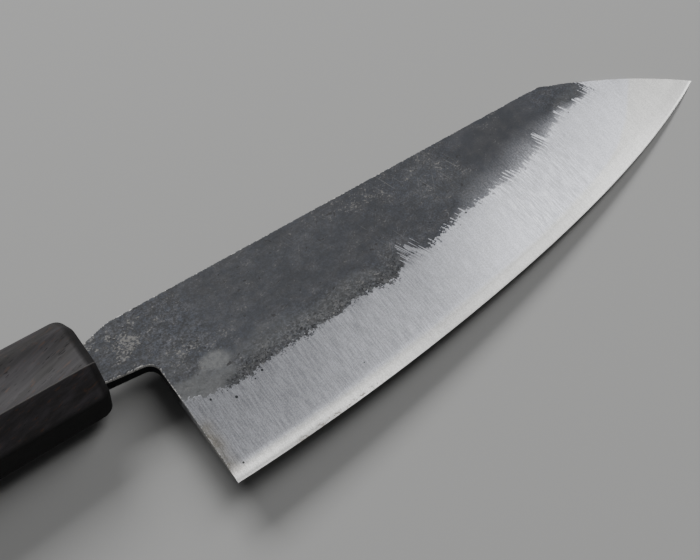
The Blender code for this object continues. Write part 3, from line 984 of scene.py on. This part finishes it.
def scale_zones(s, n):
    """Shares of the scale: its edging, its calm and crusted parts, black holes and dots, and the walls."""
    cover, crusted = s.fact("cover"), s.fact("crusted")
    edging = s.times(s.step(cover, 7.5, 2.0), crusted)
    plain = s.times(s.step(cover, 4.0, 9.0, 0.0, 0.6), s.step(s.fact("length"), 22.0, 32.0))
    calm = s.most(s.times(s.fact("calm"), 0.7), s.times(plain, crusted))
    holed = s.step(s.total(edging, (s.fact("pale"), -1.6)), 0.0, 1.0)
    return SimpleNamespace(
        edging=edging,
        calm=calm,
        crusted=s.times(crusted, s.rest(calm)),
        holes=s.times(holed, s.step(n.pepper, 0.56, 0.66)),
        dots=s.step(n.dots, 0.71, 0.77),
        walls=s.step(s.fact("rim"), INTERIOR_RIM + 0.5, INTERIOR_RIM + 3.0),
    )


def scale_colour(s, n, zones, seed):
    """Blue-grey scale with clouds, speckle, pale and dark places, scratches, black bits and painted shade
    on the walls.
    """
    x, y = s.fact("length"), s.fact("across")
    tone = s.times(s.step(n.cloud, 0.36, 0.64, 0.88, 1.12), s.step(n.patch, 0.34, 0.66, 0.84, 1.16),
                   s.blend(zones.calm, s.step(n.grain, 0.34, 0.66, 0.70, 1.30), 1.0),
                   s.blend(zones.calm, s.step(n.fine, 0.36, 0.64, 0.60, 1.40), 1.0),
                   s.blend(zones.crusted, 1.0, s.step(n.mottle, 0.38, 0.62, 1.45, 0.55)))
    scale = s.dim(s.mix(s.step(n.patch, 0.40, 0.60), SLATE, DUSK), tone)
    scale = s.mix(s.times(zones.edging, s.step(n.mottle, 0.52, 0.38, 0.08, 0.42)), scale, OLIVE_SCALE)
    clotted = s.total(s.times(n.grain, 0.6), (n.mottle, 0.4))
    scale = s.mix(s.times(s.fact("pale"), s.step(clotted, 0.36, 0.60, 0.50, 1.0)), scale, THIN_SCALE)
    scale = s.dim(scale, s.total(1.0, (s.fact("dark"), -0.38)))
    worn = s.total(-0.225, (n.flecks, 1.0), (s.fact("speckle"), 0.15), (n.patch, 0.45))
    flecked = s.times(s.step(worn, 0.64, 0.76, 0.0, 0.70), s.total(1.0, (zones.calm, -0.7)))
    scale = s.mix(flecked, scale, WORN_SCALE)
    for lean, shift in SCRATCH_SETS:
        line = s.noise(s.total(x, (y, lean)), s.total(y, (x, -lean)), 0.42, 11.0, 1.0, seed + shift)
        scratch = s.times(s.step(line, 0.67, 0.74, 0.0, 0.4), s.fact("scratched"))
        scale = s.mix(scratch, scale, WORN_SCALE)
    scale = s.mix(s.most(s.times(zones.dots, 0.8), s.times(zones.holes, 0.58)), scale, BLACK_SCALE)
    # Painted shade: scale on the walls, such as the neck's underside, made much darker
    return s.dim(scale, s.total(1.0, (zones.walls, -0.8)))


def metal_colour(s, n, rubbed):
    """Ground iron, and the core's steel below the seam, with brushing, scoring, nicks, a stain, and painted
    sheen and shade along the blade.
    """
    metal = s.mix(s.step(s.total(-0.4, (s.fact("seam"), 1.0), (n.grain, 0.8)), -0.8, 0.8), STEEL, IRON)
    metal = s.mix(s.times(s.fact("stain"), s.step(n.patch, 0.3, 0.7, 0.4, 1.0)), metal, STAINED_IRON)
    contrast = s.blend(s.fact("calm"), s.blend(s.fact("crusted"), 0.07, 0.16), 0.20)
    contrast = s.times(contrast, s.step(s.fact("height"), 2.0, 4.5, 0.35, 1.0))
    metal = s.dim(metal, s.total(1.0, (s.step(n.brushed, 0.34, 0.66, -1.0, 1.0), contrast)))
    metal = s.dim(metal, s.step(n.powder, 0.34, 0.66, 0.86, 1.14))
    metal = s.dim(metal, s.step(n.coarse, 0.34, 0.66, 0.97, 1.03))
    # Brightness along the blade: polish together with painted sheen and shade, and a painted glint along
    # the edge near the tip
    metal = s.dim(metal, s.fact("polish_and_painted_sheen"))
    scored = s.times(s.step(s.fact("cover"), -3.5, -0.3), s.fact("streaks"), 0.09)
    metal = s.dim(metal, s.rest(s.times(scored, s.step(n.strokes, 0.55, 0.42))))
    nicks = s.times(s.fact("nicked"), s.step(n.mottle, 0.52, 0.62, 0.0, 0.75))
    metal = s.mix(nicks, metal, NICKED_STEEL)
    return s.mix(rubbed, metal, s.dim(RUBBED_IRON, s.step(n.powder, 0.36, 0.64, 0.55, 1.15)))


def skin_height(s, n, start, heights):
    """Height of a skin from where it starts and what its noises give."""
    return s.total(start, *[(getattr(n, name), height) for name, height in heights.items()])


def blade_skin(s, n, zones, bare):
    """Bump of the blade: grainy scale with sunken dots and crust, and brushed metal."""
    scale = s.total(skin_height(s, n, *SCALE_SKIN), (zones.dots, -DOT_DEPTH))
    scale = s.times(scale, s.total(1.0, (zones.calm, -0.8)))
    crust = s.times(zones.crusted, s.maths('SUBTRACT', n.mottle, 0.5))
    scale = s.total(scale, (crust, -CRUST_DEPTH))
    metal = s.times(skin_height(s, n, *METAL_SKIN), s.blend(s.fact("calm"), 0.85, 2.2))
    return s.bump(s.blend(bare, scale, metal), 1.0)


def blade_finish(name, seed):
    """Forge scale above the grind line and brushed metal below it, worn bright along the rims."""
    s = Shader(name)
    n = blade_noises(s, seed)
    zones = scale_zones(s, n)
    near_rim = s.total(-0.80, (s.fact("rim"), 1.0), (n.grain, 0.65), (n.fine, 0.95))
    rubbed = s.step(near_rim, s.fact("wear"), s.times(s.fact("wear"), 0.5))
    bare = s.most(s.rest(scale_left(s, n)), rubbed)
    colour = s.mix(bare, scale_colour(s, n, zones, seed), metal_colour(s, n, rubbed))
    for pit_x, pit_y, radius in BEVEL_PITS:
        from_pit = s.distance(s.fact("length"), s.fact("across"), pit_x, pit_y)
        away = s.total(-0.2 * radius, (from_pit, 1.0), (n.fine, 0.4 * radius))
        colour = s.mix(s.step(away, radius, radius * 0.55, 0.0, 0.88), colour, BLACK_SCALE)

    lined = s.blend(s.fact("calm"), BRUSHED_ROUGHNESS, LINED_ROUGHNESS)
    rough_metal = s.blend(rubbed, s.step(n.brushed, 0.3, 0.7, GROUND_ROUGHNESS, lined), RUBBED_ROUGHNESS)
    rough_scale = s.step(n.grain, 0.3, 0.7, *SCALE_ROUGHNESS)
    rough_scale = s.blend(s.most(zones.walls, zones.holes), rough_scale, WALL_ROUGHNESS)
    roughness = s.blend(bare, rough_scale, rough_metal)
    metallic = s.times(bare, s.total(1.0, (rubbed, -0.6)))
    return s.finish(colour, roughness, metallic, blade_skin(s, n, zones, bare))


# Finishes of the handle, the dowel and the seal, with the woods' dark, light and warm colours

EBONY = ((0.0290, 0.0260, 0.0262), (0.046, 0.0415, 0.0460), (0.105, 0.052, 0.030))
MAGNOLIA = ((0.50, 0.38, 0.24), (0.66, 0.54, 0.38), (0.44, 0.32, 0.19))
RIDGE_WEAR_AND_SHEEN = (0.115, 0.108, 0.104)
GRAIN_LEAN = 0.30
PORE_DARKNESS = 0.2
FLAT_ROUGHNESS = (0.40, 0.50)
DULL_ROUGHNESS = 0.82
SIDE_AND_END_ROUGHNESS = 0.85

# Noises of the wood: sizes of the features in mm along and across the grain, detail, shift of the seed
WOOD_NOISES = {
    "bands": (30, 4.2, 3, 0),
    "streaks": (14, 1.3, 3, 9),
    "fibres": (6, 0.45, 2, 17),
    "flecks": (3.2, 0.8, 2, 47),
    "pores": (2.4, 0.30, 1, 31),
}

RESIN = ((0.020, 0.016, 0.013), (0.036, 0.029, 0.023))
RESIN_ROUGHNESS = (0.34, 0.50)
RESIN_NOISE_SCALE = 450.0
RESIN_SKIN = 0.02


def wood_noises(s, seed):
    """The wood's noises by name, leaning across the knife's own X."""
    to_knife = TO_FRAME.inverted()
    where = s.node("TexCoord").outputs["Object"]
    where = s.node("Mapping", where, to_knife.translation, to_knife.to_euler()).outputs[0]
    x, y, z = (s.times(axis, 1 / MM) for axis in s.node("SeparateXYZ", where).outputs)
    y = s.total(y, (x, -GRAIN_LEAN))
    made = {}
    for name, (along, across, detail, shift) in WOOD_NOISES.items():
        deep = s.total(shift + seed, (z, 1 / across))
        where = s.place(s.maths('DIVIDE', x, along), s.maths('DIVIDE', y, across), deep)
        made[name] = s.noise_at(where, detail)
    return SimpleNamespace(**made)


def wood_finish(name, colours, seed, shine):
    """Dense straight-grained wood: long streaks, warm flecks and fine pores."""
    s = Shader(name)
    n = wood_noises(s, seed)
    dark, light, warm = colours
    dull_painted_shade, painted_shade_side, end = s.fact("dull_painted_shade"), s.fact("painted_shade_side"), s.fact("end")
    pores = s.step(n.pores, 0.66, 0.74)
    colour = s.mix(s.step(n.bands, 0.38, 0.62), dark, light)
    colour = s.dim(colour, s.step(n.streaks, 0.33, 0.64, 1.18, 0.76))
    colour = s.mix(s.step(n.flecks, 0.58, 0.74, 0.0, 0.5), colour, warm)
    colour = s.dim(colour, s.step(n.fibres, 0.3, 0.7, 0.88, 1.12))
    colour = s.mix(s.times(pores, 0.45), colour, tuple(part * PORE_DARKNESS for part in dark))
    # Painted shade and light by facet: far facets darker, the narrow sides much darker, the chamfers
    # lighter
    colour = s.dim(colour, s.total(1.16, (dull_painted_shade, -0.46), (painted_shade_side, -1.0), (s.fact("painted_chamfer_light"), 0.17)))
    # Painted shade on the front end's rounding
    colour = s.dim(colour, s.total(1.0, (end, -0.75)))
    # Lighter wood on the ridges listed: wear together with a painted highlight
    colour = s.mix(s.times(s.fact("ridge"), s.step(n.fibres, 0.3, 0.6, 0.5, 1.0)), colour, RIDGE_WEAR_AND_SHEEN)
    roughness = s.blend(dull_painted_shade, s.step(n.streaks, 0.35, 0.65, *FLAT_ROUGHNESS), DULL_ROUGHNESS)
    roughness = s.blend(s.most(end, painted_shade_side), s.total(roughness, (pores, 0.25)), SIDE_AND_END_ROUGHNESS)
    skin = s.total(s.times(n.fibres, 0.007), (n.streaks, 0.013), (pores, -0.010))
    return s.finish(colour, roughness, 0.0, s.bump(skin, 1.0), shine)


def seal_finish():
    """Dark resin with a slightly uneven skin."""
    s = Shader("seal_resin")
    skin = s.noise_at(s.node("TexCoord").outputs["Object"], 3.0, scale=RESIN_NOISE_SCALE)
    colour = s.mix(s.step(skin, 0.3, 0.7), *RESIN)
    return s.finish(colour, s.step(skin, 0.3, 0.7, *RESIN_ROUGHNESS), 0.0, s.bump(skin, RESIN_SKIN))


# Stage, lights and camera

CAMERA_PLACE = Vector((-48.33, -149.66, 279.99))
CAMERA_AZIMUTH = 54.582
CAMERA_ELEVATION = -60
LENS = 69.99
SENSOR = 36.0

FLOOR_HALF = 3.0
FLOOR_COLOUR = (0.46, 0.46, 0.453, 1.0)
FLOOR_ROUGHNESS = 0.8
SKY_COLOUR = (0.96, 0.98, 1.0, 1.0)
SKY_STRENGTH = 0.05

# Soft lights aimed at the blade: azimuth, elevation, distance, width, height, power and turn
LIGHT_AIM = Vector((0.05, 0.0, 0.0))
SOFT_LIGHTS = {
    "window": (5.1, 59, 1.31, 0.48, 1.36, 7.2, 25),
    "back": (85, 38, 1.4, 0.9, 0.5, 15, 0),
}


def direction(azimuth, elevation):
    """Way in the frame at degrees from +X towards +Y, and up from the floor."""
    heading, rise = math.radians(azimuth), math.radians(elevation)
    return Vector((math.cos(heading) * math.cos(rise), math.sin(heading) * math.cos(rise), math.sin(rise)))


def camera():
    """The photo's view, placed in the knife's axes and turned in the frame's."""
    data = bpy.data.cameras.new("camera")
    data.lens = LENS
    data.sensor_width = SENSOR
    data.clip_start = 0.01
    data.clip_end = 20.0
    made = show("camera", data)
    made.location = TO_FRAME @ (CAMERA_PLACE * MM)
    made.rotation_euler = direction(CAMERA_AZIMUTH, CAMERA_ELEVATION).to_track_quat('-Z', 'Y').to_euler()
    bpy.context.scene.camera = made


def softbox(name, azimuth, elevation, distance, width, height, power, turn):
    """Rectangular light that is seen from the blade in a direction, and turned about its own aim."""
    data = bpy.data.lights.new(name, 'AREA')
    data.shape = 'RECTANGLE'
    data.size = width
    data.size_y = height
    data.energy = power
    made = show(name, data)
    away = direction(azimuth, elevation)
    made.location = LIGHT_AIM + away * distance
    facing = (-away).to_track_quat('-Z', 'Y').to_matrix()
    made.rotation_euler = (facing @ Matrix.Rotation(math.radians(turn), 3, 'Z')).to_euler()


def studio():
    """Plain pale floor, soft lights and a faint sky."""
    mesh = bpy.data.meshes.new("floor")
    corners = [(x * FLOOR_HALF, y * FLOOR_HALF, 0) for x, y in ((-1, -1), (1, -1), (1, 1), (-1, 1))]
    mesh.from_pydata(corners, [], [(0, 1, 2, 3)])
    mesh.materials.append(Shader("floor_paper").finish(FLOOR_COLOUR, FLOOR_ROUGHNESS))
    show("floor", mesh)
    world = bpy.data.worlds.new("studio")
    bpy.context.scene.world = world
    world.use_nodes = True
    sky = world.node_tree.nodes["Background"]
    sky.inputs["Color"].default_value = SKY_COLOUR
    sky.inputs["Strength"].default_value = SKY_STRENGTH
    for name, settings in SOFT_LIGHTS.items():
        softbox(name, *settings)


def seam_stations():
    """Where the seam between core and cladding runs, from the heel to where it meets the clip."""
    x = np.arange(HEEL.x, TIP.x, FINE_STEP)
    heights = seam_height(x)
    below_clip = edge_y(x) + heights < np.where(x > SPINE_CORNER.x, clip_y(x), SPINE_RISE) - 0.05
    last = int(np.argmin(below_clip)) if not below_clip.all() else len(x)
    return x[:last], heights[:last]


SEAM_X, SEAM_HEIGHTS = seam_stations()


def main():
    camera()
    studio()
    iron = blade_finish("forged_iron", 11.0)
    steel = blade_finish("core_steel", 23.0)
    ebony = wood_finish("ebony", EBONY, 2.0, 0.5)
    pale_wood = wood_finish("magnolia", MAGNOLIA, 5.0, 0.3)

    pieces = (
        (cladding("face_cladding_finish", 1, 4.0, iron), "face_cladding", "scaled_iron"),
        (cladding("back_cladding_finish", -1, 57.0, iron), "back_cladding", "scaled_iron"),
        (core("core_steel_finish", 91.0, steel), "core_steel", "core_steel"),
        (handle(ebony), "handle_body", "dark_wood"),
    )
    for piece, node, slot in pieces:
        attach(piece, "root")
        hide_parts(node)
    for node, finish in (("tang_dowel", pale_wood), ("tang_seal", seal_finish())):
        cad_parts[node].data.materials.clear()
        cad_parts[node].data.materials.append(finish)


main()
